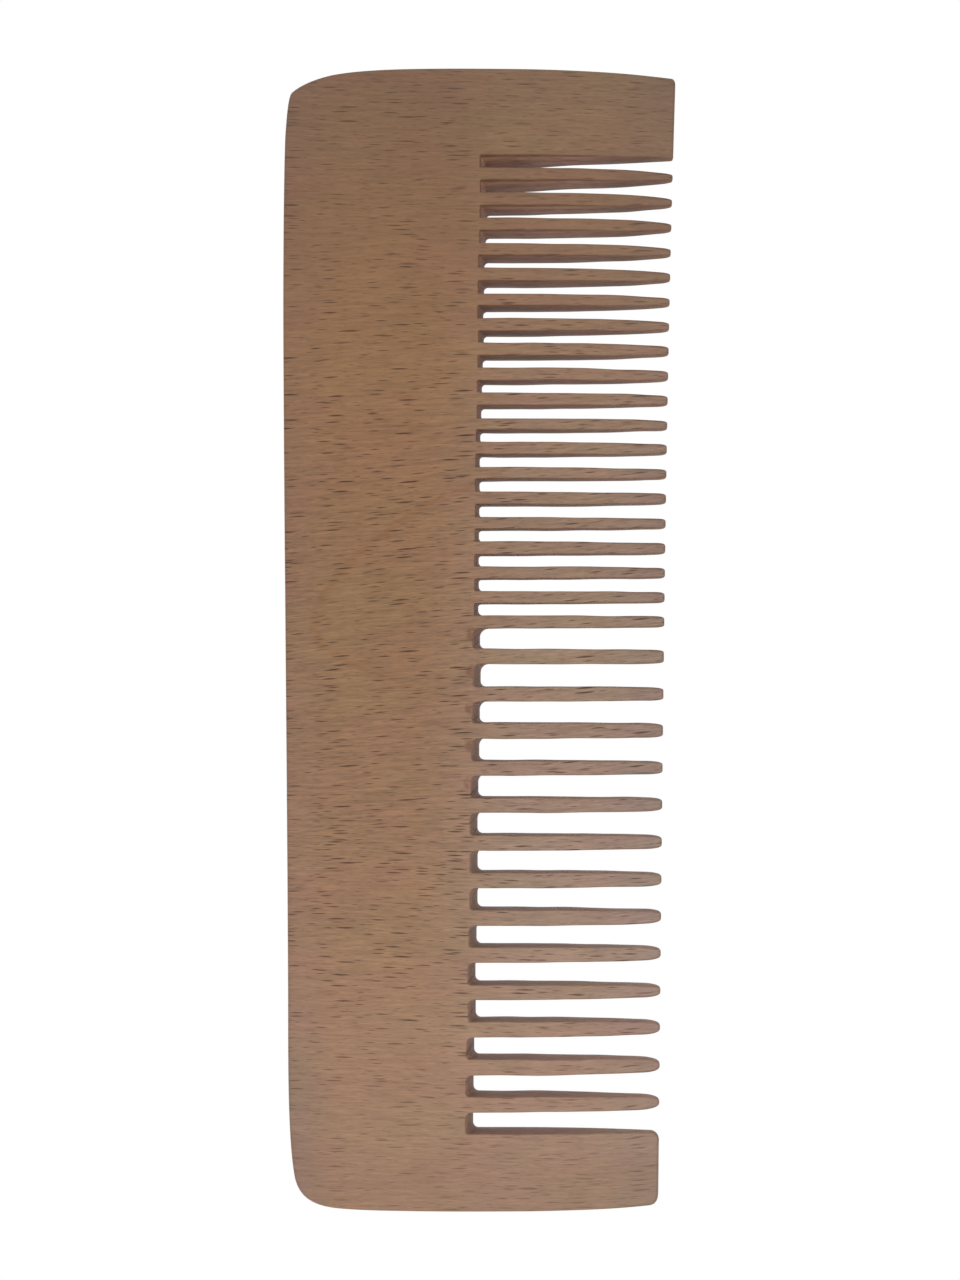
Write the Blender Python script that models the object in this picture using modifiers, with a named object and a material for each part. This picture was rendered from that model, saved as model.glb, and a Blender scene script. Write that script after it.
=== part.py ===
"""Beard comb, sawn and sanded from one thin piece of beech.

The comb lies flat. +Z goes up through its thickness, +Y runs along it towards the fine
teeth, and the teeth point to +X. The origin is on the surface that it lies on, under the
middle of its outline. All dimensions below are in millimetres.
"""

import math
from dataclasses import dataclass

import bmesh
import bpy

MM = 0.001
WELD_DISTANCE = 0.00001

# The board
LENGTH = 150.0
WIDTH = 51.7
THICKNESS = 6.0
EASED_EDGE = 0.4
EDGE_ANGLE = math.radians(40)

# The board thins from the middle of the teeth to their tips, along a parabola
TIP_THICKNESS = 1.3
THINNED_DEPTH = 20.0
TIP_LINE_X = 24.45
TIP_LINE_SLOPE = 0.0154

# The line that the saw stopped at
ROOT_LINE_X = -0.6
ROOT_LINE_SLOPE = 0.0148

# The blade tipped over sideways in the first fine gaps, as a share of its depth, and less and
# less down to the place from where it went upright
SAW_TIP_OVER = 0.062
UPRIGHT_FROM_Y = 30.0

# The tooth side of the outline, from the coarse guard's heel to the fine guard's heel
HEEL_COARSE = (23.5, -73.2)
HEEL_FINE = (WIDTH / 2, 73.3)
TIP_SIDE_BOW = (24.1, 24.3)

# Over this much of its length a tooth's sides draw in towards the tip, slowly at first if the
# power is more than 1
DRAWN_IN_LENGTH = 20.0
DRAWN_IN_POWER = 1.3

# How far from the tip the points of a tooth's side are
TIP_STATIONS = (20.0, 11.0, 5.5, 3.0, 1.8, 1.0, 0.5, 0.2, 0.05)
ROOT_ARC_STEPS = 3

# How far the cutters reach out past the tips
PAST_THE_TIPS = 1.5

BEECH_COLOR = (0.287, 0.168, 0.102, 1.0)
BEECH_ROUGHNESS = 0.55


@dataclass
class ToothRun:
    """A run of equal saw gaps with the teeth that they leave."""

    name: str
    gaps: int
    first_gap_y: float
    pitch: float
    root_half_width: float
    mouth_half_width: float
    shoulder: float
    first_tip_power: float
    last_tip_power: float
    root_radius: float
    saw_lean: float


FINE = ToothRun("fine_gaps", 19, 62.6, 3.265, 0.8, 0.68, 3.0, 0.24, 0.15, 0.25, 5.7)
COARSE = ToothRun("coarse_gaps", 14, 0.12, 4.89, 1.01, 0.92, 2.4, 0.1, 0.34, 0.5, 9.0)
FINE_GUARD_CORNER = 0.3
COARSE_GUARD_CORNER = 1.1


def clear_scene():
    for obj in list(bpy.data.objects):
        bpy.data.objects.remove(obj)


def make_collection(name):
    collection = bpy.data.collections.new(name)
    bpy.context.scene.collection.children.link(collection)
    return collection


def make_beech():
    material = bpy.data.materials.new("beech")
    material.use_nodes = True
    shader = material.node_tree.nodes["Principled BSDF"]
    shader.inputs["Base Color"].default_value = BEECH_COLOR
    shader.inputs["Roughness"].default_value = BEECH_ROUGHNESS
    shader.inputs["Metallic"].default_value = 0.0
    material.diffuse_color = BEECH_COLOR
    return material


def flat_curve(name, half_height):
    """An empty 2D curve, filled on both faces and extruded to a slab."""
    curve = bpy.data.curves.new(name, "CURVE")
    curve.dimensions = "2D"
    curve.fill_mode = "BOTH"
    curve.extrude = half_height * MM
    return curve


def add_bezier_loop(curve, points):
    """Close a loop through points given as (place, handle before, handle after)."""
    spline = curve.splines.new("BEZIER")
    spline.bezier_points.add(len(points) - 1)
    for knot, (place, before, after) in zip(spline.bezier_points, points):
        knot.handle_left_type = "FREE"
        knot.handle_right_type = "FREE"
        knot.co = (place[0] * MM, place[1] * MM, 0.0)
        knot.handle_left = (before[0] * MM, before[1] * MM, 0.0)
        knot.handle_right = (after[0] * MM, after[1] * MM, 0.0)
    spline.use_cyclic_u = True


def add_polygon_loop(curve, points):
    spline = curve.splines.new("POLY")
    spline.points.add(len(points) - 1)
    for knot, (x, y) in zip(spline.points, points):
        knot.co = (x * MM, y * MM, 0.0, 1.0)
    spline.use_cyclic_u = True


def solid_from_curve(curve, collection, location, rotation):
    """Turn a filled curve into a closed mesh object, with its caps welded on."""
    guide = bpy.data.objects.new(curve.name, curve)
    guide.location = location
    guide.rotation_euler = rotation
    collection.objects.link(guide)
    bpy.context.view_layer.update()
    depsgraph = bpy.context.evaluated_depsgraph_get()
    mesh = bpy.data.meshes.new_from_object(guide.evaluated_get(depsgraph))
    cleaned = bmesh.new()
    cleaned.from_mesh(mesh)
    bmesh.ops.remove_doubles(cleaned, verts=cleaned.verts, dist=WELD_DISTANCE)
    bmesh.ops.recalc_face_normals(cleaned, faces=cleaned.faces)
    cleaned.to_mesh(mesh)
    cleaned.free()
    mesh.name = curve.name
    solid = bpy.data.objects.new(curve.name + "_solid", mesh)
    solid.matrix_world = guide.matrix_world.copy()
    collection.objects.link(solid)
    bpy.data.objects.remove(guide)
    return solid


def mark_as_cutter(solid):
    solid.hide_render = True
    solid.display_type = "WIRE"


def board_outline():
    """The comb's outline without its gaps, anticlockwise from the coarse guard's heel."""
    top = LENGTH / 2
    bottom = -LENGTH / 2
    back = -WIDTH / 2
    third = (HEEL_FINE[1] - HEEL_COARSE[1]) / 3
    lower_bow = (TIP_SIDE_BOW[0], HEEL_COARSE[1] + third)
    upper_bow = (TIP_SIDE_BOW[1], HEEL_FINE[1] - third)
    return [
        (HEEL_COARSE, (23.45, -74.2), lower_bow),
        (HEEL_FINE, upper_bow, (WIDTH / 2, 73.85)),
        ((25.3, 74.15), (25.65, 74.1), (18.0, 74.75)),
        ((-2.7, top), (7.0, top), (-10.0, top)),
        ((-19.1, 74.2), (-15.1, 74.9), (-21.3, 73.8)),
        ((-24.75, 71.8), (-23.65, 72.85), (-25.2, 71.35)),
        ((-25.6, 66.0), (-25.4, 69.0), (-25.75, 62.0)),
        ((back, 45.0), (back, 54.0), (back, 25.0)),
        ((-25.15, -52.0), (-25.2, -25.0), (-25.15, -60.0)),
        ((-24.2, -70.8), (-24.95, -67.3), (-23.6, -73.0)),
        ((-19.3, -74.5), (-22.05, -74.1), (-16.6, -74.85)),
        ((-2.0, bottom), (-10.0, bottom), (8.0, bottom)),
        ((22.3, -74.6), (17.0, -74.95), (22.95, -74.55)),
    ]


def board_section():
    """The comb's section across its length, with the tip line at zero.

    The stretch that thins is a parabola, so each of its handles is a third of its run away.
    """
    flat = THICKNESS / 2
    run = THINNED_DEPTH + PAST_THE_TIPS
    drop = (flat - TIP_THICKNESS / 2) * (run / THINNED_DEPTH) ** 2
    nose = (PAST_THE_TIPS, flat - drop)
    nose_handle = (PAST_THE_TIPS - run / 3, flat - drop / 3)
    flat_end = (-THINNED_DEPTH, flat)
    flat_handle = (-THINNED_DEPTH + run / 3, flat)
    past_spine = (-2 * WIDTH, flat)
    upper_half = [
        (nose, nose, nose_handle),
        (flat_end, flat_handle, flat_end),
        (past_spine, past_spine, past_spine),
    ]

    def mirrored(knot):
        place, before, after = [(x, -height) for x, height in knot]
        return (place, after, before)

    return upper_half + [mirrored(knot) for knot in reversed(upper_half)]


def tip_x(y):
    """Where the tooth side of the outline is, at this place along the comb."""
    t = (y - HEEL_COARSE[1]) / (HEEL_FINE[1] - HEEL_COARSE[1])
    s = 1 - t
    low, high = TIP_SIDE_BOW
    return (
        s**3 * HEEL_COARSE[0]
        + 3 * s * s * t * low
        + 3 * s * t * t * high
        + t**3 * HEEL_FINE[0]
    )


def root_x(y):
    return ROOT_LINE_X + ROOT_LINE_SLOPE * y


def saw_tip_over(y):
    """How far the blade went sideways for each millimetre that it went down."""
    past_upright = (y - UPRIGHT_FROM_Y) / (FINE.first_gap_y - UPRIGHT_FROM_Y)
    return SAW_TIP_OVER * min(max(past_upright, 0), 1)


def tooth_half_width(run, tip_power, from_tip):
    """Half a tooth's width: drawn in over its outer part, and rounded off at the tip."""
    drawn_in = (1 - min(from_tip / DRAWN_IN_LENGTH, 1)) ** DRAWN_IN_POWER
    side = run.root_half_width - (run.root_half_width - run.mouth_half_width) * drawn_in
    past_shoulder = 1 - min(from_tip / run.shoulder, 1)
    return side * (1 - past_shoulder**2) ** tip_power


def guard_corner(run, index, side):
    """The radius of an end guard's inner corner, or nothing if a tooth is on this side."""
    if run is FINE and index == 0 and side > 0:
        return FINE_GUARD_CORNER
    if run is COARSE and index == run.gaps - 1 and side < 0:
        return COARSE_GUARD_CORNER
    return None


def guard_recess(corner, from_tip):
    """How far a guard's rounded inner corner stands back from its straight side."""
    if from_tip >= corner:
        return 0.0
    return corner - math.sqrt(corner**2 - (corner - from_tip) ** 2)


def gap_outline(run, index):
    """One saw gap: a square-sided slot that widens where the tooth tips round off."""
    y = run.first_gap_y - index * run.pitch
    tip = tip_x(y)
    root = root_x(y)
    root_half_gap = run.pitch / 2 - run.root_half_width
    blend = index / (run.gaps - 1)
    tip_power = run.first_tip_power + (run.last_tip_power - run.first_tip_power) * blend

    def half_gap(side, from_tip):
        corner = guard_corner(run, index, side)
        if corner:
            return root_half_gap + guard_recess(corner, from_tip)
        return root_half_gap + run.root_half_width - tooth_half_width(run, tip_power, from_tip)

    def one_side(side):
        mouth = half_gap(side, TIP_STATIONS[-1])
        points = [(tip + PAST_THE_TIPS, y + side * mouth)]
        for from_tip in reversed(TIP_STATIONS):
            points.append((tip - from_tip, y + side * half_gap(side, from_tip)))
        arc_x = root + run.root_radius
        arc_y = root_half_gap - run.root_radius
        for step in range(ROOT_ARC_STEPS + 1):
            angle = math.radians(90 * step / ROOT_ARC_STEPS)
            x = arc_x - run.root_radius * math.sin(angle)
            points.append((x, y + side * (arc_y + run.root_radius * math.cos(angle))))
        return points

    return one_side(1) + list(reversed(one_side(-1)))


def make_gap_cutter(run, collection):
    """All the gaps of one run as one cutter, leaning the way the saw leaned."""
    curve = flat_curve(run.name, THICKNESS)
    for index in range(run.gaps):
        add_polygon_loop(curve, gap_outline(run, index))
    middle = (0.0, 0.0, THICKNESS / 2 * MM)
    cutter = solid_from_curve(curve, collection, middle, (0.0, 0.0, 0.0))
    lean = math.tan(math.radians(run.saw_lean))
    for vertex in cutter.data.vertices:
        vertex.co.x -= lean * vertex.co.z
        vertex.co.y += saw_tip_over(vertex.co.y / MM) * vertex.co.z
    mark_as_cutter(cutter)
    return cutter


def make_section_slab(collection):
    """The long slab that the board is cut down to, so that it thins towards the tips."""
    curve = flat_curve("section", LENGTH)
    curve.resolution_u = 8
    add_bezier_loop(curve, board_section())
    place = (TIP_LINE_X * MM, 0.0, THICKNESS / 2 * MM)
    turn = (math.radians(90), 0.0, -math.atan(TIP_LINE_SLOPE))
    slab = solid_from_curve(curve, collection, place, turn)
    mark_as_cutter(slab)
    return slab


def add_boolean(obj, operation, other):
    modifier = obj.modifiers.new(other.name, "BOOLEAN")
    modifier.operation = operation
    modifier.solver = "EXACT"
    modifier.object = other


def add_eased_edges(obj):
    modifier = obj.modifiers.new("eased edges", "BEVEL")
    modifier.width = EASED_EDGE * MM
    modifier.segments = 2
    modifier.limit_method = "ANGLE"
    modifier.angle_limit = EDGE_ANGLE
    modifier.use_clamp_overlap = False


def make_comb(parts, cutters):
    curve = flat_curve("comb", THICKNESS)
    curve.resolution_u = 9
    add_bezier_loop(curve, board_outline())
    comb = solid_from_curve(curve, parts, (0.0, 0.0, THICKNESS / 2 * MM), (0.0, 0.0, 0.0))
    comb.name = "comb"
    comb.data.materials.append(make_beech())
    add_boolean(comb, "INTERSECT", make_section_slab(cutters))
    add_eased_edges(comb)
    for run in (FINE, COARSE):
        add_boolean(comb, "DIFFERENCE", make_gap_cutter(run, cutters))
    return comb


def main():
    clear_scene()
    parts = make_collection("beard_comb")
    cutters = make_collection("cutters")
    make_comb(parts, cutters)


main()
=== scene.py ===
"""A beard comb sawn and sanded from one thin piece of beech, lying on a plain white table.

The comb lies flat: +Z goes up through its thickness, +Y runs along it towards the fine teeth,
and the teeth point to +X. Lengths are in millimetres until the mesh is made.
"""

import math
import random
from dataclasses import dataclass

import bpy
import numpy as np
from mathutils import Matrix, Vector, kdtree, noise
from mathutils.geometry import delaunay_2d_cdt


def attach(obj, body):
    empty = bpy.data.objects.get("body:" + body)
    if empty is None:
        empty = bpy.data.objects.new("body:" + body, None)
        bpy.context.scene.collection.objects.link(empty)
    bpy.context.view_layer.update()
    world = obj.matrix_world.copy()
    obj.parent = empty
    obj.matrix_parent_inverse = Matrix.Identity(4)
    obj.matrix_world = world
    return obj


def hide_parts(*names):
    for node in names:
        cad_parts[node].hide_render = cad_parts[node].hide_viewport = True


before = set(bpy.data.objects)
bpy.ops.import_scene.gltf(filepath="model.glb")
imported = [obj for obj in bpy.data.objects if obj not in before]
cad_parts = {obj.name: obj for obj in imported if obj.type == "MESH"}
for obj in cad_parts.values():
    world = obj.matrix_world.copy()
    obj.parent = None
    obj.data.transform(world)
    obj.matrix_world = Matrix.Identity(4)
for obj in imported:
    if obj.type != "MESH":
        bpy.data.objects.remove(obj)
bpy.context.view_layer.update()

MM = 0.001

# The board
LENGTH = 150.0
WIDTH = 51.7
THICKNESS = 6.0

# The board thins from the middle of the teeth to their tips, along a parabola
TIP_THICKNESS = 1.3
THINNED_DEPTH = 20.0

# Hand sanding took this much off the face, in broad slow waves and in smaller ones
SANDED_OFF = 0.02
BROAD_WAVES = 0.035
SMALL_WAVES = 0.012

# The radii that the sander left on the edges
ROOT_ROUNDING = 0.12
TOOTH_ROUNDING = 0.16
MORE_AT_A_TIP = 0.2
GUARD_ROUNDING = 0.34
BACK_ROUNDING = 0.4
BACK_WEAR = 0.1

# The line that the saw stopped at
ROOT_LINE_X = -0.60
ROOT_LINE_SLOPE = 0.0148

# The tooth side of the outline, from the coarse guard's heel to the fine guard's heel
HEEL_COARSE = (23.5, -73.2)
HEEL_FINE = (25.85, 73.3)
TIP_SIDE_BOW = (24.1, 24.3)

# The guards' inner corners
FINE_GUARD_CORNER = 0.3
COARSE_GUARD_CORNER = 1.1

# Over this much of its length a tooth's sides draw in towards the tip
DRAWN_IN_LENGTH = 20.0
DRAWN_IN_POWER = 1.3

# The first fine teeth taper over this much of their length, down to this place along the comb
WHITTLED_LENGTH = 6.0
WHITTLED_POWER = 1.4
WHITTLED_SHARE = 0.27
WHITTLED_FROM_Y = 20.0

# The tooth between the two runs is this much wider on each side
STOUTER_MIDDLE_TOOTH = 0.12

# How unevenly a hand saws and sands: gap places, gap widths as a share of that, how far in the
# saw goes, a tooth side's wobble, and how far a tooth bends to one side
SAW_UNEVENNESS = 0.05
WIDTH_UNEVENNESS = 0.7
ROOT_UNEVENNESS = 0.1
TOOTH_WOBBLE = 0.07
TOOTH_BEND = 0.05

# The gaps in a run drift from an even pitch and come back over this many gaps
BOWED_GAPS = 13

# The first fine gaps were sawn with the blade tipped over, as a share of the depth
SAW_TIP_OVER = 0.062
UPRIGHT_FROM_Y = 30.0

# The saw didn't clear the underside at the roots of the first gaps, less and less down to here
UNCLEARED_ROOT = 0.60
UNCLEARED_LENGTH = 13.0
CLEARED_FROM_Y = 53.5

# Nor did it cut as far in on the underside as on the face, between these places along the comb
SHORT_UNDERNEATH = 0.24
SHORT_FROM_Y = 27.0
SHORTEST_FROM_Y = 47.62

# The upper root corner on the underside is this share smaller in a run's last gap
CORNER_DROP = 0.4

# Two root corners take up no more than this share of a narrow gap
CORNERS_FIT = 0.94


@dataclass
class ToothRun:
    """A run of equal saw gaps with the teeth that they leave."""

    gaps: int
    first_gap_y: float
    pitch: float
    pitch_bow: float
    root_ahead: float
    saw_lean: float

    # A tooth's half width at its root and near its mouth, and the shape of its tip
    root_half_width: float
    mouth_half_width: float
    shoulder: float
    first_tip_power: float
    last_tip_power: float

    # The root corners' radii, and how much narrower a gap is on each side of the underside
    low_face_corner: float
    high_face_corner: float
    low_under_corner: float
    high_under_corner: float
    under_narrower: float


FINE = ToothRun(
    gaps=19,
    first_gap_y=62.62,
    pitch=3.265,
    pitch_bow=-0.12,
    root_ahead=0.0,
    saw_lean=5.7,
    root_half_width=0.79,
    mouth_half_width=0.69,
    shoulder=1.3,
    first_tip_power=0.20,
    last_tip_power=0.16,
    low_face_corner=0.12,
    high_face_corner=0.2,
    low_under_corner=0.7,
    high_under_corner=0.58,
    under_narrower=0.06,
)
COARSE = ToothRun(
    gaps=14,
    first_gap_y=0.16,
    pitch=4.893,
    pitch_bow=0.0,
    root_ahead=0.18,
    saw_lean=10.0,
    root_half_width=1.01,
    mouth_half_width=0.92,
    shoulder=2.4,
    first_tip_power=0.10,
    last_tip_power=0.34,
    low_face_corner=0.4,
    high_face_corner=0.8,
    low_under_corner=0.7,
    high_under_corner=1.15,
    under_narrower=0.0,
)


@dataclass
class Gap:
    """One saw gap: where its middle is, and half its width at the root."""

    run: ToothRun
    y: float
    half: float
    root_shift: float
    tip_power: float
    high_under_corner: float


@dataclass
class Rim:
    """One point of the comb's edge, with how it is rounded and sawn there."""

    x: float
    y: float
    rounding: float
    sawn: float = 0.0
    lean: float = 0.0
    tip_over: float = 0.0


def straight_step(low, high, value):
    """0 at low and 1 at high, in a straight line between them."""
    return min(max((value - low) / (high - low), 0.0), 1.0)


def smooth_step(low, high, value):
    """0 at low and 1 at high, starting and ending softly."""
    t = straight_step(low, high, value)
    return t * t * (3 - 2 * t)


# ---------------------------------------------------------------- the comb's outline


def tip_x(y):
    """Where the tooth side of the outline is, at this place along the comb."""
    t = (y - HEEL_COARSE[1]) / (HEEL_FINE[1] - HEEL_COARSE[1])
    s = 1 - t
    low, high = TIP_SIDE_BOW
    return (
        s**3 * HEEL_COARSE[0]
        + 3 * s * s * t * low
        + 3 * s * t * t * high
        + t**3 * HEEL_FINE[0]
    )


def saw_tip_over(y):
    """How far the blade goes sideways for each millimetre that it goes down."""
    return SAW_TIP_OVER * straight_step(UPRIGHT_FROM_Y, FINE.first_gap_y, y)


def uncleared_root(y):
    """How much of the upper wall the saw left at the roots of the first gaps."""
    return UNCLEARED_ROOT * straight_step(CLEARED_FROM_Y, FINE.first_gap_y, y)


def half_thickness(from_tip):
    """Half the board's thickness, at this distance in from the line of the tips."""
    thinned = 1 - straight_step(0.0, THINNED_DEPTH, from_tip)
    return THICKNESS / 2 - (THICKNESS - TIP_THICKNESS) / 2 * thinned**2


def saw_gaps(hand):
    """Every gap from the coarse guard to the fine guard, as evenly as a hand saws them."""
    gaps = []
    for run in (FINE, COARSE):
        for index in range(run.gaps):
            blend = index / (run.gaps - 1)
            power = run.first_tip_power + (run.last_tip_power - run.first_tip_power) * blend
            bow = run.pitch_bow * math.sin(math.pi * min(index / BOWED_GAPS, 1))
            y = run.first_gap_y - index * run.pitch + bow + hand.uniform(-1, 1) * SAW_UNEVENNESS
            half = run.pitch / 2 - run.root_half_width
            half += hand.uniform(-1, 1) * SAW_UNEVENNESS * WIDTH_UNEVENNESS
            root_shift = hand.uniform(-ROOT_UNEVENNESS, ROOT_UNEVENNESS)
            under_corner = run.high_under_corner * (1 - CORNER_DROP * blend)
            gaps.append(Gap(run, y, half, root_shift, power, under_corner))
    for gap, away in ((gaps[FINE.gaps - 1], 1), (gaps[FINE.gaps], -1)):
        gap.y += away * STOUTER_MIDDLE_TOOTH / 2
        gap.half -= STOUTER_MIDDLE_TOOTH / 2
    gaps.reverse()
    return gaps


def tooth_stations(run, power, reach):
    """Places down a tooth's side as (distance from tip, share of full width)."""
    tip_steps = 16
    tip_crowding = 1.5
    body_steps = 26
    body_crowding = 1.15
    stations = []
    for step in range(tip_steps):
        share = 1 - (1 - step / tip_steps) ** tip_crowding
        stations.append((run.shoulder * (1 - math.sqrt(1 - share ** (1 / power))), share))
    start = stations[-1][0]
    for step in range(1, body_steps + 1):
        from_tip = start + (reach - start) * (step / body_steps) ** body_crowding
        past_shoulder = 1 - straight_step(0.0, run.shoulder, from_tip)
        stations.append((from_tip, (1 - past_shoulder**2) ** power))
    return stations


def tooth_side(run, power, middle_y, root_half, side, reach, number):
    """One side of a tooth from its tip to its root, with the sander's small unevenness."""
    steady_tip, wobbly_from = 0.5, 4.0
    stiff_root = 8.0
    points = []
    tip = tip_x(middle_y)
    whittled = WHITTLED_SHARE * smooth_step(WHITTLED_FROM_Y, FINE.first_gap_y, middle_y)
    for from_tip, share in tooth_stations(run, power, reach):
        drawn_in = (1 - straight_step(0.0, DRAWN_IN_LENGTH, from_tip)) ** DRAWN_IN_POWER
        half = run.root_half_width - (run.root_half_width - run.mouth_half_width) * drawn_in
        half *= 1 - whittled * (1 - straight_step(0.0, WHITTLED_LENGTH, from_tip)) ** WHITTLED_POWER
        half = half * root_half / run.root_half_width
        wobble = noise.noise(Vector((from_tip * 0.22, number * 7.3, side * 3.1)))
        half += TOOTH_WOBBLE * wobble * smooth_step(steady_tip, wobbly_from, from_tip)
        bend = TOOTH_BEND * noise.noise(Vector((from_tip * 0.1, number * 3.7, 9.0)))
        y = middle_y + side * half * share
        y += bend * smooth_step(reach, reach - stiff_root, from_tip)
        points.append((tip - from_tip, y, from_tip))
    return points


def guard_side(corner, edge_y, side, reach):
    """A guard's straight side from its rounded inner corner to the root."""
    corner_steps = 8
    straight_steps = 30
    points = []
    tip = tip_x(edge_y)
    for step in range(corner_steps + 1):
        turn = math.radians(90 * step / corner_steps)
        from_tip = corner * (1 - math.cos(turn))
        points.append((tip - from_tip, edge_y - side * corner * (1 - math.sin(turn)), from_tip))
    for step in range(1, straight_steps + 1):
        from_tip = corner + (reach - corner) * step / straight_steps
        points.append((tip - from_tip, edge_y, from_tip))
    return points


def gap_corners(gap, under):
    """The radii of a gap's root corners, the low one and the high one."""
    run = gap.run
    if not under:
        return run.low_face_corner, run.high_face_corner
    room = 2 * (gap.half - run.under_narrower) - uncleared_root(gap.y)
    fitted = min(CORNERS_FIT * room / (run.low_under_corner + gap.high_under_corner), 1.0)
    return run.low_under_corner * fitted, gap.high_under_corner * fitted


def gap_root(gap, under):
    """Where the saw stopped in this gap."""
    root = ROOT_LINE_X + ROOT_LINE_SLOPE * gap.y + gap.run.root_ahead + gap.root_shift
    if under:
        root += SHORT_UNDERNEATH * smooth_step(SHORT_FROM_Y, SHORTEST_FROM_Y, gap.y)
    return root


def gap_side(gaps, number, side, root, corner, under):
    """A gap's low side (-1) or high side (1), from its mouth to where its root corner starts."""
    gap = gaps[number]
    edge = gap.y + side * gap.half
    if 0 <= number + side < len(gaps):
        other = gaps[number + side]
        other_edge = other.y - side * other.half
        middle = (edge + other_edge) / 2
        tooth_run = gap.run
        power = (gap.tip_power + other.tip_power) / 2
        if gap.run is not other.run:
            tooth_run = FINE
            power = gap.tip_power if gap.run is FINE else other.tip_power
        reach = tip_x(middle) - root - corner
        points = tooth_side(tooth_run, power, middle, abs(edge - middle), -side, reach,
                            min(number, number + side))
    else:
        reach = tip_x(edge) - root - corner
        guard_corner = COARSE_GUARD_CORNER if side < 0 else FINE_GUARD_CORNER
        points = guard_side(guard_corner, edge, -side, reach)
    if not under:
        return points
    narrower = side * gap.run.under_narrower
    uncleared = uncleared_root(gap.y) if side > 0 else 0.0
    return [
        (x, y - narrower - uncleared * smooth_step(reach - UNCLEARED_LENGTH, reach, from_tip), from_tip)
        for x, y, from_tip in points
    ]


def root_end(root, low_y, high_y, low_corner, high_corner):
    """Round the end of a gap, from its low side to its high side."""
    arc_steps = 6
    turns = [math.radians(90 * step / arc_steps) for step in range(1, arc_steps + 1)]
    points = []
    for turn in turns:
        x = root + low_corner * (1 - math.sin(turn))
        points.append((x, low_y + low_corner * (1 - math.cos(turn))))
    for share in (0.25, 0.5, 0.75):
        points.append((root, (low_y + low_corner) * (1 - share) + (high_y - high_corner) * share))
    for turn in reversed(turns):
        x = root + high_corner * (1 - math.sin(turn))
        points.append((x, high_y - high_corner * (1 - math.cos(turn))))
    return points


def edge_rounding(from_tip):
    """The sanded edge's radius: small by the root, larger near a tip."""
    grows_from, full_at = 9.0, 1.5
    return TOOTH_ROUNDING + MORE_AT_A_TIP * smooth_step(grows_from, full_at, from_tip)


def side_rims(points, lean, tip_over):
    """A gap's side as rims. The sawn wall leans more and more towards the root."""
    reach = points[-1][2]
    return [
        Rim(x, y, edge_rounding(from_tip), 1.0, lean * smooth_step(0, reach, from_tip), tip_over)
        for x, y, from_tip in points
    ]


def gap_rims(gaps, under):
    """The rims from the coarse guard's inner corner, in and out of every gap, to the fine guard."""
    rims = []
    for number, gap in enumerate(gaps):
        lean = math.tan(math.radians(gap.run.saw_lean))
        tip_over = saw_tip_over(gap.y)
        root = gap_root(gap, under)
        low_corner, high_corner = gap_corners(gap, under)
        low_side = gap_side(gaps, number, -1, root, low_corner, under)
        high_side = gap_side(gaps, number, 1, root, high_corner, under)
        end = root_end(root, low_side[-1][1], high_side[-1][1], low_corner, high_corner)
        low_rims = side_rims(low_side, lean, tip_over)
        end_rims = [Rim(x, y, ROOT_ROUNDING, 1.0, lean, tip_over) for x, y in end]
        high_rims = side_rims(high_side, lean, tip_over)
        if number + 1 < len(gaps):
            # The next gap's low side starts at this tooth's tip too, so it adds that point
            high_rims = high_rims[1:]
        rims += low_rims + end_rims + high_rims[::-1]
    return rims


def bezier_points(start, start_handle, end_handle, end, steps):
    points = []
    for step in range(1, steps + 1):
        t = step / steps
        s = 1 - t
        points.append(tuple(
            s**3 * start[i] + 3 * s * s * t * start_handle[i]
            + 3 * s * t * t * end_handle[i] + t**3 * end[i]
            for i in range(2)
        ))
    return points


def back_outline():
    """From the fine guard's heel round the ends and the back to the coarse guard's heel."""
    top = LENGTH / 2
    bottom = -LENGTH / 2
    back = -WIDTH / 2
    # Each knot with the handle that the curve arrives by and the one that it leaves by
    knots = [
        (HEEL_FINE, None, (25.87, 73.85)),
        ((25.3, 74.15), (25.65, 74.1), (18.0, 74.75)),
        ((-2.7, top), (7.0, top), (-10.0, top)),
        ((-19.1, 74.2), (-15.1, 74.9), (-21.3, 73.8)),
        ((-24.75, 71.8), (-23.65, 72.85), (-25.2, 71.35)),
        ((-25.6, 66.0), (-25.4, 69.0), (-25.75, 62.0)),
        ((back, 45.0), (back, 54.0), (back, 25.0)),
        ((-25.15, -52.0), (-25.2, -25.0), (-25.15, -60.0)),
        ((-24.2, -70.8), (-24.95, -67.3), (-23.6, -73.0)),
        ((-19.3, -74.5), (-22.05, -74.1), (-16.6, -74.85)),
        ((-2.0, bottom), (-10.0, bottom), (8.0, bottom)),
        ((22.3, -74.6), (17.0, -74.95), (22.95, -74.55)),
        (HEEL_COARSE, (23.45, -74.2), None),
    ]
    fewest_steps = 5
    step_length = 0.8
    points = [knots[0][0]]
    for (start, _, leaving), (end, arriving, _) in zip(knots, knots[1:]):
        steps = max(fewest_steps, round(math.dist(start, end) / step_length))
        points += bezier_points(start, leaving, arriving, end, steps)
    return points


def guard_tip(start_y, end_y):
    """The rims along a guard's end of the tooth side, without the points at its two ends."""
    steps = 12
    along = [start_y + (end_y - start_y) * step / steps for step in range(1, steps)]
    return [Rim(tip_x(y), y, GUARD_ROUNDING) for y in along]


def comb_rims(gaps, under):
    """The whole edge of the comb, anticlockwise, either on its face or on its underside."""
    sawn = gap_rims(gaps, under)
    rims = guard_tip(HEEL_COARSE[1], sawn[0].y) + sawn + guard_tip(sawn[-1].y, HEEL_FINE[1])
    for x, y in back_outline():
        wear = noise.noise(Vector((x * 0.15, y * 0.15, 4.0)))
        rims.append(Rim(x, y, BACK_ROUNDING + BACK_WEAR * wear))
    return rims


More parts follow.
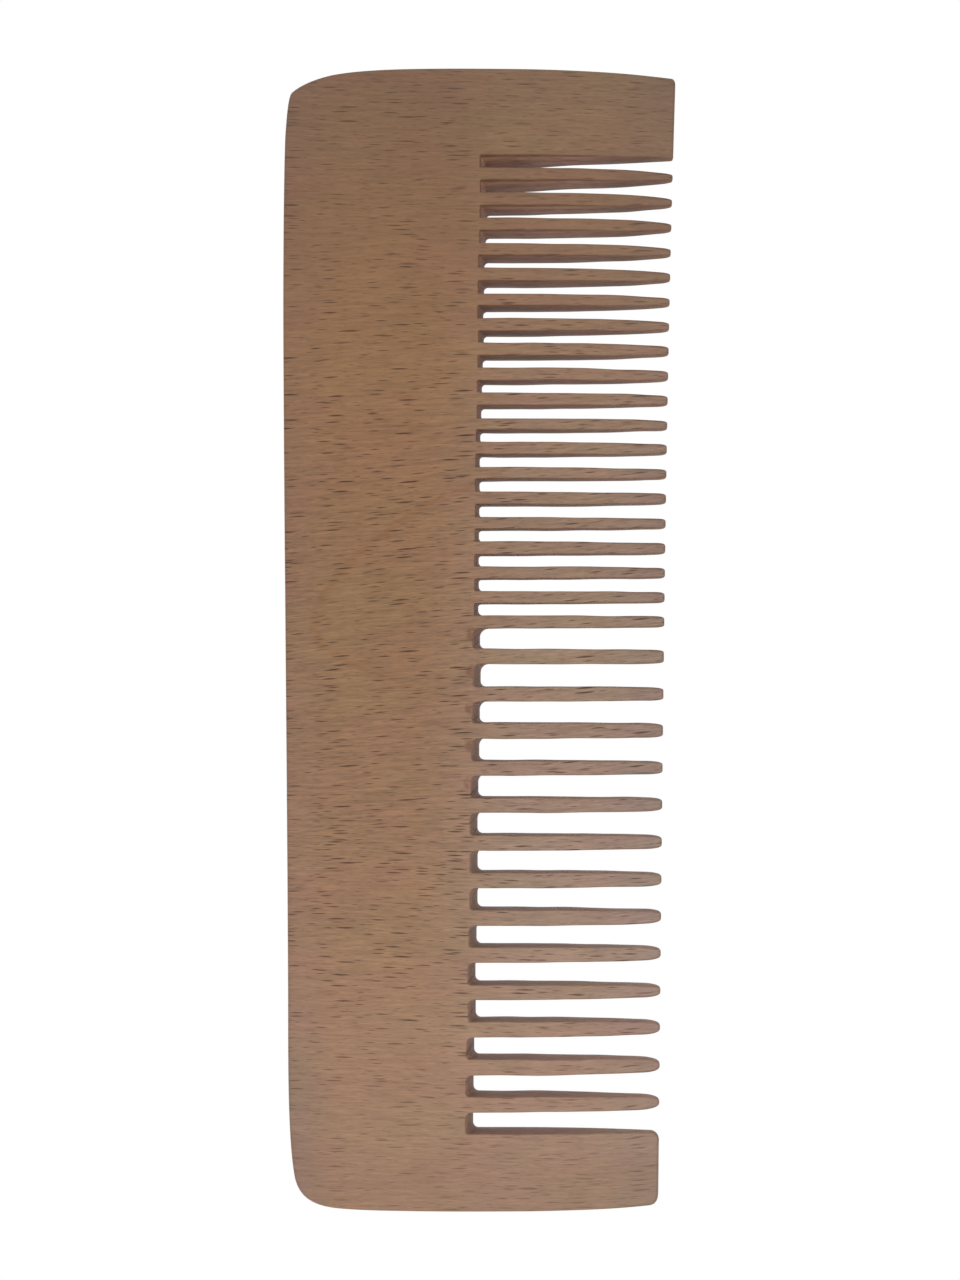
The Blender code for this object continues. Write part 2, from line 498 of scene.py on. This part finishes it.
# ---------------------------------------------------------------- the comb's mesh

# The wall's rings: this many steps round each edge, and this many down between them
ROUNDING_STEPS = 4
WALL_STEPS = 4

# An edge is rounded over no more than this share of half the thickness
MOST_ROUNDED = 0.8

# The scattered points that carry the face's unevenness
FACE_SPACING = 0.85
FACE_ROW_STEP = 0.87
FACE_JITTER = 0.08
CLEAR_OF_EDGE = 0.4


def inward_normals(points):
    along = np.roll(points, -1, axis=0) - np.roll(points, 1, axis=0)
    along /= np.linalg.norm(along, axis=1)[:, None]
    return np.stack([-along[:, 1], along[:, 0]], axis=1)


def safe_insets(points, wanted):
    """How far in each rim can go before a tight corner would fold over itself."""
    straight = 1e3
    least_turn = 1e-4
    share_of_radius = 0.6
    growth = 1.15
    ahead = np.roll(points, -1, axis=0) - points
    behind = points - np.roll(points, 1, axis=0)
    turn = np.arctan2(
        behind[:, 0] * ahead[:, 1] - behind[:, 1] * ahead[:, 0], (behind * ahead).sum(axis=1)
    )
    length = (np.linalg.norm(ahead, axis=1) + np.linalg.norm(behind, axis=1)) / 2
    radius = np.where(turn > least_turn, length / np.maximum(turn, least_turn), straight)
    safe = np.minimum(wanted, share_of_radius * radius)
    allowed = safe
    for shift in (-2, -1, 1, 2):
        allowed = np.minimum(allowed, np.roll(safe, shift) * growth)
    for _ in range(3):
        allowed = (np.roll(allowed, 1) + 2 * allowed + np.roll(allowed, -1)) / 4
    return allowed


def sanding(x, y):
    """The slow unevenness that hand sanding leaves in the face."""
    broad = noise.noise(Vector((x * 0.05, y * 0.05, 2.0)))
    small = noise.noise(Vector((x * 0.16, y * 0.21, 7.0)))
    return BROAD_WAVES * broad + SMALL_WAVES * small - SANDED_OFF


def face_height(x, y, side):
    """Height of the face (side 1) or of the underside (side -1) over the table."""
    height = side * half_thickness(tip_x(y) - x)
    if side > 0:
        height += sanding(x, y)
    return THICKNESS / 2 + height


def inside(points, outline):
    """Which points lie inside a closed outline."""
    block_size = 1000
    level = 1e-12
    start = outline
    end = np.roll(outline, -1, axis=0)
    run = end[:, 0] - start[:, 0]
    rise = end[:, 1] - start[:, 1]
    rise = np.where(np.abs(rise) < level, level, rise)
    result = np.zeros(len(points), dtype=bool)
    for first in range(0, len(points), block_size):
        block = points[first:first + block_size]
        above_start = start[None, :, 1] > block[:, 1, None]
        above_end = end[None, :, 1] > block[:, 1, None]
        cross_x = start[:, 0] + (block[:, 1, None] - start[:, 1]) / rise * run
        crossings = (above_start != above_end) & (block[:, 0, None] < cross_x)
        result[first:first + block_size] = crossings.sum(axis=1) % 2 == 1
    return result


def spread_points(outline, hand):
    """Evenly scattered places on the face, clear of its edge."""
    places = []
    row = 0
    y = -LENGTH / 2
    while y < LENGTH / 2:
        offset = FACE_SPACING / 2 if row % 2 else 0.0
        for column in range(int(WIDTH / FACE_SPACING) + 2):
            x = -WIDTH / 2 + offset + column * FACE_SPACING
            aside = hand.uniform(-FACE_JITTER, FACE_JITTER)
            places.append((x + aside, y + hand.uniform(-FACE_JITTER, FACE_JITTER)))
        y += FACE_SPACING * FACE_ROW_STEP
        row += 1
    points = np.array(places)
    points = points[inside(points, outline)]
    halfway = (outline + np.roll(outline, -1, axis=0)) / 2
    edge = kdtree.KDTree(len(outline) * 2)
    for number, (x, y) in enumerate(np.concatenate([outline, halfway])):
        edge.insert((x, y, 0.0), number)
    edge.balance()
    keep = [edge.find((x, y, 0.0))[2] > CLEAR_OF_EDGE for x, y in points]
    return points[np.array(keep)]


def fill_outline(outline, scattered):
    """Triangles that fill an outline through the scattered points."""
    inside_only = 1
    merged_within = 1e-6
    corners = [Vector(point) for point in outline] + [Vector(point) for point in scattered]
    loop = list(range(len(outline)))
    filled = delaunay_2d_cdt(corners, [], [loop], inside_only, merged_within)
    triangles, sources = filled[2], filled[3]
    return [tuple(sources[i][0] for i in triangle) for triangle in triangles]


class Skin:
    """The comb's surface as it grows: points, how sawn and how rounded each is, and faces."""

    def __init__(self):
        self.points = []
        self.sawn = []
        self.edge = []
        self.faces = []

    def add_point(self, point, sawn=0.0, edge=0.0):
        self.points.append(point)
        self.sawn.append(sawn)
        self.edge.append(edge)

    def mesh(self, name):
        mesh = bpy.data.meshes.new(name)
        mesh.from_pydata([(x * MM, y * MM, z * MM) for x, y, z in self.points], [], self.faces)
        mesh.polygons.foreach_set("use_smooth", [True] * len(mesh.polygons))
        for share_name, shares in (("sawn", self.sawn), ("edge", self.edge)):
            attribute = mesh.attributes.new(share_name, "FLOAT", "POINT")
            attribute.data.foreach_set("value", shares)
        mesh.update()
        return mesh


def wall_levels():
    """The wall's rings from the face down, as (side, share inward, share of drop, depth)."""
    quarter = [math.radians(90 * step / ROUNDING_STEPS) for step in range(ROUNDING_STEPS + 1)]
    upper = [(1, 1 - math.cos(turn), 1 - math.sin(turn), 0.0) for turn in reversed(quarter)]
    between = [(0, 0.0, 1.0, step / WALL_STEPS) for step in range(1, WALL_STEPS)]
    lower = [(-1, 1 - math.cos(turn), 1 - math.sin(turn), 1.0) for turn in quarter]
    return upper + between + lower


def add_wall(skin, levels, face_rims, under_rims):
    """Rings of points round the comb, over its rounded edges and down its walls."""
    on_face = np.array([(rim.x, rim.y) for rim in face_rims])
    on_underside = np.array([(rim.x, rim.y) for rim in under_rims])
    rounding = np.array([rim.rounding for rim in face_rims])
    face_insets = safe_insets(on_face, rounding)
    under_insets = safe_insets(on_underside, rounding)
    face_normals = inward_normals(on_face)
    under_normals = inward_normals(on_underside)
    for side, inward, drop, depth in levels:
        for i, rim in enumerate(face_rims):
            base = on_face[i] * (1 - depth) + on_underside[i] * depth
            normal = face_normals[i] * (1 - depth) + under_normals[i] * depth
            inset = face_insets[i] * (1 - depth) + under_insets[i] * depth
            half = half_thickness(tip_x(base[1]) - base[0])
            rise = min(rim.rounding, half * MOST_ROUNDED)
            if side > 0:
                above_middle = half - rise * drop
            elif side < 0:
                above_middle = rise * drop - half
            else:
                above_middle = (half - rise) * (1 - 2 * depth)
            x = base[0] + normal[0] * inset * inward - rim.lean * above_middle
            y = base[1] + normal[1] * inset * inward + rim.tip_over * above_middle
            height = THICKNESS / 2 + above_middle
            if side > 0:
                height += sanding(x, y) * (1 - drop)
            skin.add_point((x, y, height), rim.sawn * (1 - inward), 1 - inward)


def join_rings(skin, rings, count):
    for upper in range(0, (rings - 1) * count, count):
        lower = upper + count
        for i in range(count):
            j = (i + 1) % count
            skin.faces.append((upper + i, lower + i, lower + j, upper + j))


def fill_side(skin, side, first, count, hand):
    """Fill the face (side 1) or the underside (side -1) inside its ring of points."""
    outline = np.array([point[:2] for point in skin.points[first:first + count]])
    scattered = spread_points(outline, hand)
    base = len(skin.points)
    for x, y in scattered:
        skin.add_point((x, y, face_height(x, y, side)))
    numbers = [*range(first, first + count), *range(base, base + len(scattered))]
    for triangle in fill_outline(outline, scattered):
        corners = [numbers[i] for i in triangle]
        skin.faces.append(corners if side > 0 else corners[::-1])


def comb_mesh():
    hand = random.Random(41)
    gaps = saw_gaps(hand)
    face_rims = comb_rims(gaps, under=False)
    under_rims = comb_rims(gaps, under=True)
    levels = wall_levels()
    count = len(face_rims)
    skin = Skin()
    add_wall(skin, levels, face_rims, under_rims)
    join_rings(skin, len(levels), count)
    fill_side(skin, 1, 0, count, hand)
    fill_side(skin, -1, (len(levels) - 1) * count, count, hand)
    return skin.mesh("beech_comb")


# ---------------------------------------------------------------- nodes


class Wire:
    """A value that changes over a surface. Arithmetic on it adds Math nodes."""

    def __init__(self, finish, socket):
        self.finish = finish
        self.socket = socket

    def __add__(self, other):
        return self.finish.math("ADD", self, other)

    def __radd__(self, other):
        return self.finish.math("ADD", other, self)

    def __sub__(self, other):
        return self.finish.math("SUBTRACT", self, other)

    def __rsub__(self, other):
        return self.finish.math("SUBTRACT", other, self)

    def __mul__(self, other):
        return self.finish.math("MULTIPLY", self, other)

    def __rmul__(self, other):
        return self.finish.math("MULTIPLY", other, self)

    def __truediv__(self, other):
        return self.finish.math("DIVIDE", self, other)

    def __rtruediv__(self, other):
        return self.finish.math("DIVIDE", other, self)

    def __pow__(self, other):
        return self.finish.math("POWER", self, other)

    def __rpow__(self, other):
        return self.finish.math("POWER", other, self)

    def __gt__(self, other):
        return self.finish.math("GREATER_THAN", self, other)

    def __lt__(self, other):
        return self.finish.math("LESS_THAN", self, other)

    def __abs__(self):
        return self.finish.math("ABSOLUTE", self)


class Knot:
    """One node of a finish, with its outputs as wires."""

    def __init__(self, finish, node):
        self.finish = finish
        self.node = node

    def out(self, name):
        return Wire(self.finish, self.node.outputs[name])


class Finish:
    """A material whose nodes are added one at a time."""

    def __init__(self, name):
        self.material = bpy.data.materials.new(name)
        self.material.use_nodes = True
        self.tree = self.material.node_tree
        self.tree.nodes.clear()

    def add(self, kind, settings=None, sockets=None):
        """Add a node: its settings first, then a value or a wire for each named socket."""
        node = self.tree.nodes.new(kind)
        for name, value in (settings or {}).items():
            if name == "stops":
                self.set_stops(node.color_ramp, value)
            else:
                setattr(node, name, value)
        for name, value in (sockets or {}).items():
            if isinstance(value, Wire):
                self.tree.links.new(value.socket, node.inputs[name])
            else:
                node.inputs[name].default_value = value
        return Knot(self, node)

    def set_stops(self, ramp, stops):
        while len(ramp.elements) < len(stops):
            ramp.elements.new(0.5)
        for element, (place, color) in zip(ramp.elements, stops):
            element.position = place
            element.color = (*color, 1.0)

    def math(self, operation, *terms):
        sockets = dict(enumerate(terms))
        return self.add("ShaderNodeMath", {"operation": operation}, sockets).out(0)

    def multiply(self, color, tint, share=1.0):
        """A colour times a tint, over this share of the surface."""
        if not isinstance(tint, Wire):
            tint = (*tint, 1.0)
        settings = {"data_type": "RGBA", "blend_type": "MULTIPLY"}
        sockets = {"Factor": share, 6: color, 7: tint}
        return self.add("ShaderNodeMix", settings, sockets).out(2)

    def ramp(self, value, stops):
        return self.add("ShaderNodeValToRGB", {"stops": stops}, {"Fac": value}).out("Color")

    def smooth(self, value, low, high):
        """0 at low and 1 at high, starting and ending softly."""
        settings = {"interpolation_type": "SMOOTHSTEP"}
        sockets = {"Value": value, "From Min": low, "From Max": high}
        return self.add("ShaderNodeMapRange", settings, sockets).out("Result")

    def point(self, x, y, z):
        return self.add("ShaderNodeCombineXYZ", {}, {"X": x, "Y": y, "Z": z}).out("Vector")

    def split(self, vector):
        """A vector's three parts."""
        parts = self.add("ShaderNodeSeparateXYZ", {}, {"Vector": vector})
        return parts.out("X"), parts.out("Y"), parts.out("Z")

    def gray(self, light):
        sockets = {"Red": light, "Green": light, "Blue": light}
        return self.add("ShaderNodeCombineColor", {}, sockets).out("Color")

    def noise(self, place, detail=2.0, roughness=0.5):
        sockets = {"Vector": place, "Scale": 1.0, "Detail": detail, "Roughness": roughness}
        return self.add("ShaderNodeTexNoise", {}, sockets).out("Fac")


# ---------------------------------------------------------------- the beech finish

# Darker at the fine end, and paler and pinker at the coarse end: partly the wood's own drift, partly
# painted light that is stronger towards the coarse end
BEECH_AND_LIGHT_ALONG_THE_COMB = [
    (0.0, (0.261, 0.156, 0.091)),
    (0.08, (0.276, 0.164, 0.095)),
    (0.14, (0.278, 0.162, 0.091)),
    (0.25, (0.257, 0.146, 0.077)),
    (0.38, (0.240, 0.133, 0.068)),
    (0.5, (0.230, 0.128, 0.060)),
    (0.62, (0.224, 0.119, 0.055)),
    (0.74, (0.229, 0.119, 0.053)),
    (0.87, (0.198, 0.103, 0.048)),
    (1.0, (0.170, 0.094, 0.050)),
]

# What the colour along the comb is multiplied by. Teeth: paler and greyer with painted grey sheen, and
# darker and greyer at their tips with painted shade and sheen where the faces slope down
TEETH = (1.07, 1.26, 1.69)
FINE_TEETH = (0.985, 0.985, 1.0)
SHADED_TIPS = (0.90, 0.93, 1.03)

# The back, with painted grey sheen towards its edge, and the two guards
SHEEN_NEAR_BACK = (0.96, 0.96, 1.09)
COARSE_END_OF_BACK = (0.92, 0.97, 0.98)
FINE_GUARD = (1.08, 1.13, 1.05)
COARSE_GUARD = (0.94, 0.93, 0.87)

# The wood's figure
BLUSH = (1.01, 0.955, 1.01)
GROWTH_RING = (0.93, 0.86, 0.78)
LONG_FLECK = (0.29, 0.21, 0.16)
SHORT_FLECK = (0.36, 0.27, 0.21)
SPECK = (0.72, 0.66, 0.62)

# The sawn walls: lighter inside the fine gaps than at their rims, and lightest in the first ones, with
# painted light that lifts the shade deep in those gaps
COARSE_WALL = (1.0, 0.92, 0.92)
FINE_WALL = (1.01, 0.93, 0.90)
LIT_DEEP_FINE_WALL = (1.40, 1.42, 1.60)
LIT_DEEP_FIRST_WALL = (2.05, 2.55, 3.2)
WALL_WAVE = (0.80, 0.74, 0.72)

# Painted shade on the rounded edges, darkest at the tips, and scorched wood
SHADED_EDGE = (0.80, 0.80, 0.84)
SCORCHED = (0.70, 0.57, 0.50)

# A straight line along the tips, that the wood's colours are measured from
TIP_LINE_X = 24.45
TIP_LINE_SLOPE = 0.0154

# A ray fleck's cell: how long and how wide
LONG_FLECK_CELL = (7.8, 0.62)
SHORT_FLECK_CELL = (5.6, 0.46)
SPECK_CELL = (3.2, 0.27)

# Where the growth ring on the face turns back, how slowly it bends above and below that, how
# much it wavers, and from how far off its middle it starts to show
RING_TURN = (-21.4, 1.2)
RING_ABOVE = 18.0
RING_BELOW = 4.4
RING_WAVER = 3.5
RING_HALF_WIDTH = 1.3

# The scorch marks: how many gaps have one, how far above the gap's middle, and how wide it is
SCORCHED_GAPS = 5
SCORCH_ABOVE_GAP = 0.5
SCORCH_BEFORE_ROOT = 0.4
SCORCH_RADIUS = 1.1


@dataclass
class Spot:
    """A point of the comb's surface, as wires: where it is, and how sawn and rounded."""

    x: Wire
    y: Wire
    z: Wire
    past_root: Wire
    from_tip: Wire
    sawn: Wire
    edge: Wire


@dataclass
class Grain:
    """The wood's figure, as wires."""

    streaks: Wire
    fibres: Wire
    clouds: Wire
    long_flecks: Wire
    short_flecks: Wire
    specks: Wire


def find_spot(finish):
    x, y, z = finish.split(finish.add("ShaderNodeTexCoord").out("Object"))
    x, y, z = x / MM, y / MM, z / MM
    return Spot(
        x, y, z,
        past_root=x - y * ROOT_LINE_SLOPE - ROOT_LINE_X,
        from_tip=TIP_LINE_X + y * TIP_LINE_SLOPE - x,
        sawn=finish.add("ShaderNodeAttribute", {"attribute_name": "sawn"}).out("Fac"),
        edge=finish.add("ShaderNodeAttribute", {"attribute_name": "edge"}).out("Fac"),
    )


def ray_flecks(finish, along, across, cell, seed):
    """Beech's short dark spindles: 0 between them, up to 1 in the darkest."""
    reach = 0.2
    place = finish.point(along / cell[0] + seed, across / cell[1] + seed * 0.37, 0.0)
    settings = {"voronoi_dimensions": "2D", "feature": "F1", "distance": "MINKOWSKI"}
    sockets = {"Vector": place, "Scale": 1.0, "Exponent": 1.35, "Randomness": 1.0}
    cells = finish.add("ShaderNodeTexVoronoi", settings, sockets)
    lot = finish.add("ShaderNodeSeparateColor", {}, {"Color": cells.out("Color")})
    size = (lot.out("Red") * 0.75 + 0.35) * reach
    body = finish.smooth((size - cells.out("Distance")) / reach, 0.0, 0.4)
    return body * finish.smooth(lot.out("Green"), 0.0, 0.75)


def beech_grain(finish, spot):
    x, y, z = spot.x, spot.y, spot.z

    # Walls that look along the comb show the board's side grain: fine lines, and no dark flecks
    facing = finish.add("ShaderNodeNewGeometry").out("Normal")
    side_grain = finish.smooth(abs(finish.split(facing)[1]), 0.45, 0.85)
    depth = z * (1.0 + 4.0 * side_grain)

    # The fibres run along the teeth. They rise a little in the middle and level out at the ends.
    rise = 0.085 * finish.smooth(abs(y - 6.0), 48.0, 6.0) - 0.012
    drift = finish.noise(finish.point(x * 0.035, y * 0.06, z * 0.05), 1.0)
    across = y - x * rise + z * 0.14 + (drift - 0.5) * 1.3
    along = x + z * 0.25

    # The flecks are fainter towards both ends of the comb
    crisp = 0.48 + 0.52 * finish.smooth(y, -72.0, -35.0)
    crisp = crisp * (1.0 - 0.35 * finish.smooth(y, 30.0, 60.0))
    crisp = crisp * (1.0 - 0.85 * side_grain)
    return Grain(
        streaks=finish.noise(finish.point(along * 0.26, across * 3.6, depth * 0.6), 4.0, 0.62),
        fibres=finish.noise(finish.point(along * 0.8, across * 8.5, depth * 2.0), 2.0, 0.6),
        clouds=finish.noise(finish.point(x * 0.09, y * 0.13, z * 0.1), 2.0),
        long_flecks=ray_flecks(finish, along, across, LONG_FLECK_CELL, 3.0) * crisp,
        short_flecks=ray_flecks(finish, along, across, SHORT_FLECK_CELL, 41.0) * crisp,
        specks=ray_flecks(finish, along, across, SPECK_CELL, 77.0),
    )


def growth_ring(finish, spot, waver):
    """A faint arc where a growth ring comes up through the face: long above, short below."""
    up = spot.y - RING_TURN[1]
    above = up > 0.0
    bend = above / RING_ABOVE + (1.0 - above) / RING_BELOW
    off_the_arc = abs(spot.x - RING_TURN[0] - up * up * bend + (waver - 0.5) * RING_WAVER)
    return finish.smooth(off_the_arc, RING_HALF_WIDTH, 0.2)


def scorched_corners(finish, spot):
    """Where the coarse blade burnt and tore the face beside the first gaps' roots."""
    blotches = finish.noise(finish.point(spot.x * 0.5, spot.y * 0.9, spot.z * 0.8), 3.0, 0.6)
    turns = (COARSE.first_gap_y + SCORCH_ABOVE_GAP - spot.y) / COARSE.pitch
    from_corner = finish.math("FRACT", turns + 0.5) - 0.5
    near = (
        (from_corner * COARSE.pitch / SCORCH_RADIUS) ** 2.0
        + ((spot.past_root + SCORCH_BEFORE_ROOT) / SCORCH_RADIUS) ** 2.0
    )
    in_first_gaps = (turns > -0.5) * (turns < SCORCHED_GAPS - 0.5)
    marks = finish.smooth(near, 1.0, 0.1) * in_first_gaps * finish.smooth(blotches, 0.32, 0.52)
    return marks * (1.0 - spot.sawn)


def board_color_and_light(finish, spot, grain):
    """The wood's colour from place to place, with painted light, shade and sheen, before its fibres and
    flecks.
    """
    x, y = spot.x, spot.y
    middle = finish.smooth(abs(y + 2.0), 68.0, 22.0)
    past_teeth = finish.smooth(spot.past_root, -9.0, 8.0)
    blush = finish.noise(finish.point(x * 0.07 + 9.0, y * 0.16, spot.z * 0.1), 3.0)
    fine_guard = finish.smooth(y, 62.5, 65.5) * finish.smooth(spot.past_root, -5.0, 4.0)
    coarse_guard = finish.smooth(y, -67.0, -70.0) * finish.smooth(spot.past_root, 2.0, 18.0)
    coarse_end_of_back = finish.smooth(x, -18.0, -24.5) * finish.smooth(y, -38.0, -62.0)
    # The colour along the comb carries painted light as well as the wood's own drift
    color = finish.ramp((y + LENGTH / 2) / LENGTH, BEECH_AND_LIGHT_ALONG_THE_COMB)
    for tint, share in (
        # Painted grey sheen over the teeth
        (TEETH, past_teeth * (0.2 + 0.8 * middle)),
        (FINE_TEETH, past_teeth * finish.smooth(y, 2.0, 4.0)),
        # Painted shade and grey sheen towards the tips, where the faces slope down
        (SHADED_TIPS, finish.smooth(spot.from_tip, 12.0, 0.0)),
        # Painted grey sheen towards the back edge
        (SHEEN_NEAR_BACK, finish.smooth(x, -18.0, -25.0)),
        (COARSE_END_OF_BACK, coarse_end_of_back),
        (FINE_GUARD, fine_guard),
        (COARSE_GUARD, coarse_guard),
        (BLUSH, finish.smooth(blush, 0.4, 0.62)),
        (GROWTH_RING, growth_ring(finish, spot, grain.clouds) * 0.8),
    ):
        color = finish.multiply(color, tint, share)
    return color


def figured(finish, spot, grain, color):
    """The same colour with the flecks and the fibres in it."""
    color = finish.multiply(color, LONG_FLECK, grain.long_flecks)
    color = finish.multiply(color, SHORT_FLECK, grain.short_flecks)
    color = finish.multiply(color, SPECK, grain.specks)

    # The silk of the fibres stands out most in the middle of the comb
    contrast = 1.0 + 0.45 * finish.smooth(abs(spot.y + 3.0), 62.0, 15.0)
    silk = (grain.streaks - 0.5) * 0.8 + (grain.fibres - 0.5) * 0.45
    light = 1.05 + silk * contrast + (grain.clouds - 0.5) * 0.16
    return finish.multiply(color, finish.gray(light))


def worked_and_shaded(finish, spot, rounded, color):
    """The same colour where tools changed it, on the walls and at the scorch marks, with painted light
    deep in the fine gaps and painted shade on the rounded edges.
    """
    x, y, z = spot.x, spot.y, spot.z
    fine_end = finish.smooth(y, 2.0, 4.0)
    on_the_wall = finish.smooth(spot.sawn, 0.7, 1.0)
    wall_and_rim = finish.smooth(spot.sawn, 0.3, 0.8)
    deep = finish.smooth(abs(z - 3.0), 2.5, 1.2) * finish.smooth(spot.from_tip, 3.0, 16.0)
    first_gaps = finish.smooth(y, 42.0, 62.0)
    waves = finish.smooth(finish.noise(finish.point(x * 0.35, y * 0.8, z * 1.3), 3.0, 0.6), 0.45, 0.62)
    at_tips = finish.smooth(spot.from_tip, 5.0, 0.0)
    for tint, share in (
        (COARSE_WALL, on_the_wall * (1.0 - fine_end)),
        (FINE_WALL, wall_and_rim * fine_end),
        # Painted light on the middle of the fine gaps' walls, lifting their shade, most in the first
        # gaps
        (LIT_DEEP_FINE_WALL, on_the_wall * fine_end * deep),
        (LIT_DEEP_FIRST_WALL, on_the_wall * first_gaps * deep),
        (WALL_WAVE, spot.sawn * waves),
        # Painted shade on the rounded edges, strongest at the tips
        (SHADED_EDGE, rounded * (0.3 + 0.7 * at_tips)),
        (SCORCHED, scorched_corners(finish, spot)),
    ):
        color = finish.multiply(color, tint, share)
    return color


def make_beech():
    """Sanded and lightly oiled beech."""
    finish = Finish("oiled_beech")
    spot = find_spot(finish)
    grain = beech_grain(finish, spot)
    rounded = 4.0 * spot.edge * (1.0 - spot.edge)
    color = board_color_and_light(finish, spot, grain)
    color = figured(finish, spot, grain, color)
    color = worked_and_shaded(finish, spot, rounded, color)

    height = (
        grain.streaks * 0.5 + grain.fibres * 0.4
        - grain.long_flecks * 0.9 - grain.short_flecks * 0.5 - grain.specks * 0.2
    )
    bump = finish.add("ShaderNodeBump", {}, {"Strength": 0.6, "Distance": 0.00004, "Height": height})
    rough = 0.48 + (grain.streaks - 0.5) * 0.2
    rough = rough + spot.sawn * 0.2 - rounded * 0.06 - grain.long_flecks * 0.06
    shader = finish.add("ShaderNodeBsdfPrincipled", {}, {
        "Base Color": color,
        "Roughness": rough,
        "Specular IOR Level": 0.35,
        "Normal": bump.out("Normal"),
    })
    finish.add("ShaderNodeOutputMaterial", {}, {"Surface": shader.out("BSDF")})
    return finish.material


def make_table_white():
    """A lit white table top: as bright in the comb's gaps as beside it."""
    finish = Finish("table_white")
    glow = finish.add("ShaderNodeEmission", {}, {"Color": (1.0, 1.0, 1.0, 1.0), "Strength": 1.0})
    finish.add("ShaderNodeOutputMaterial", {}, {"Surface": glow.out("Emission")})
    return finish.material


# ---------------------------------------------------------------- comb, table, light and camera

# The table goes this far each way, in metres, and lies just clear of the comb's underside
TABLE_REACH = 1.5
TABLE_BELOW = 0.0002

# The camera, in millimetres: how high over the comb's face, and where it hangs and aims
CAMERA_OVER_FACE = 360.0
CAMERA_Y = -3.4
AIM_Y = -0.13


def place_comb():
    comb = bpy.data.objects.new("beech_comb", comb_mesh())
    bpy.context.scene.collection.objects.link(comb)
    comb.data.materials.append(make_beech())
    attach(comb, "root")
    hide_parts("comb")


def lay_table():
    mesh = bpy.data.meshes.new("table")
    corners = [(-1, -1), (1, -1), (1, 1), (-1, 1)]
    points = [(x * TABLE_REACH, y * TABLE_REACH, -TABLE_BELOW) for x, y in corners]
    mesh.from_pydata(points, [], [(0, 1, 2, 3)])
    table = bpy.data.objects.new("table", mesh)
    bpy.context.scene.collection.objects.link(table)
    mesh.materials.append(make_table_white())
    table.visible_diffuse = False
    table.visible_glossy = False
    table.visible_shadow = False


def light_room():
    """A white light tent, a little stronger from the coarse end."""
    world = bpy.data.worlds.new("light_tent")
    bpy.context.scene.world = world
    world.use_nodes = True
    tent = world.node_tree.nodes["Background"]
    tent.inputs["Color"].default_value = (1.0, 1.0, 1.0, 1.0)
    tent.inputs["Strength"].default_value = 1.0
    lamp = bpy.data.lights.new("key", "AREA")
    lamp.energy = 1.0
    lamp.shape = "DISK"
    lamp.size = 0.5
    hanger = bpy.data.objects.new("key", lamp)
    hanger.location = (0.35, -0.35, 0.6)
    hanger.rotation_euler = (-hanger.location).to_track_quat("-Z", "Y").to_euler()
    bpy.context.scene.collection.objects.link(hanger)


def set_camera():
    """Straight above the comb, with all of it in view."""
    lens = bpy.data.cameras.new("camera")
    lens.sensor_width = 36.0
    lens.lens = 77.24
    camera = bpy.data.objects.new("camera", lens)
    camera.location = (0.0, CAMERA_Y * MM, (THICKNESS + CAMERA_OVER_FACE) * MM)
    camera.rotation_euler = (math.atan2(AIM_Y - CAMERA_Y, CAMERA_OVER_FACE), 0.0, 0.0)
    bpy.context.scene.collection.objects.link(camera)
    bpy.context.scene.camera = camera


set_camera()
bpy.context.scene.view_settings.view_transform = "Standard"
place_comb()
lay_table()
light_room()
